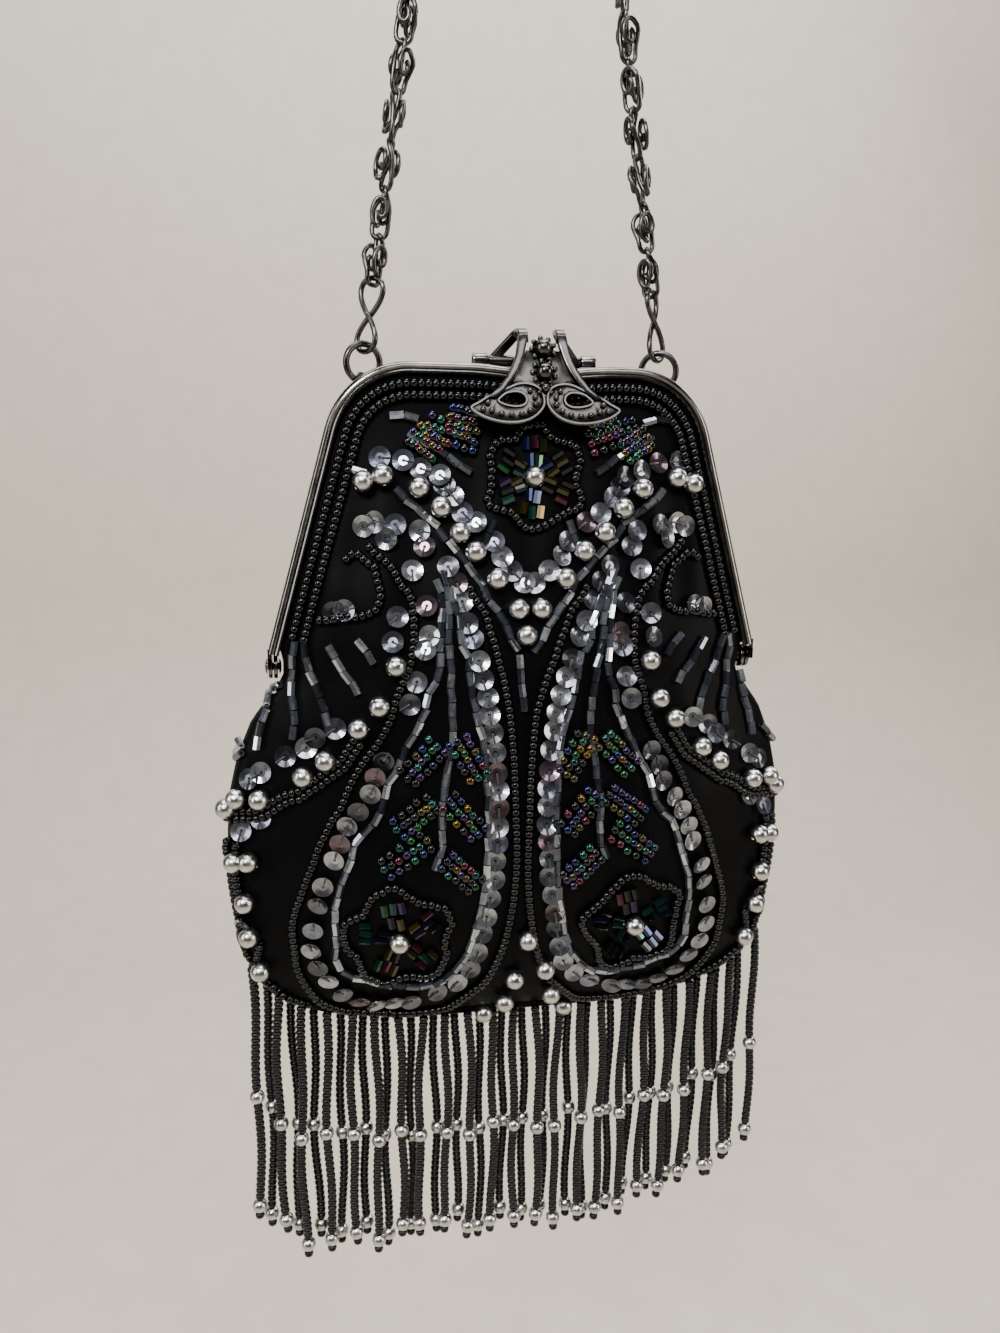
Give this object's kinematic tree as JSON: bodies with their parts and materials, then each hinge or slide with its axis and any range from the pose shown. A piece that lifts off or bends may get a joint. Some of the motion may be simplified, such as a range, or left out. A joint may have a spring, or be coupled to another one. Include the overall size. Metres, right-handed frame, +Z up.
{
  "type": "beaded flapper purse",
  "caption": "Black satin evening purse with a beaded front and bead fringe on a gunmetal frame, with a lift clasp and a scroll-link chain, shown hanging.",
  "frame": {"origin": "underside of the chain where it hangs over a hook or a hand", "axes": "+Z up, -Y towards the beaded front, +X to the viewer's right"},
  "size_m": [0.1286, 0.0274, 0.387],
  "materials": {
    "gunmetal": "dark nickel plate, polished",
    "satin": "padded black satin",
    "beads": "strings of glossy black glass beads"
  },
  "bodies": {
    "purse": {"pouch_shell": "satin", "frame_front": "gunmetal", "frame_back": "gunmetal", "hinge_rivet_left": "gunmetal", "hinge_rivet_right": "gunmetal", "jump_ring_left": "gunmetal", "jump_ring_right": "gunmetal", "connector_left": "gunmetal", "connector_right": "gunmetal", "chain": "gunmetal", "fringe": "beads"},
    "clasp": {"clasp_lever": "gunmetal"}
  },
  "joints": [
    {"name": "clasp_hinge", "type": "hinge", "parent": "purse", "child": "clasp", "pos_m": [0.0037, -0.0027, -0.17785], "axis": [-1, 0, 0], "range_deg": [0, 70]}
  ]
}
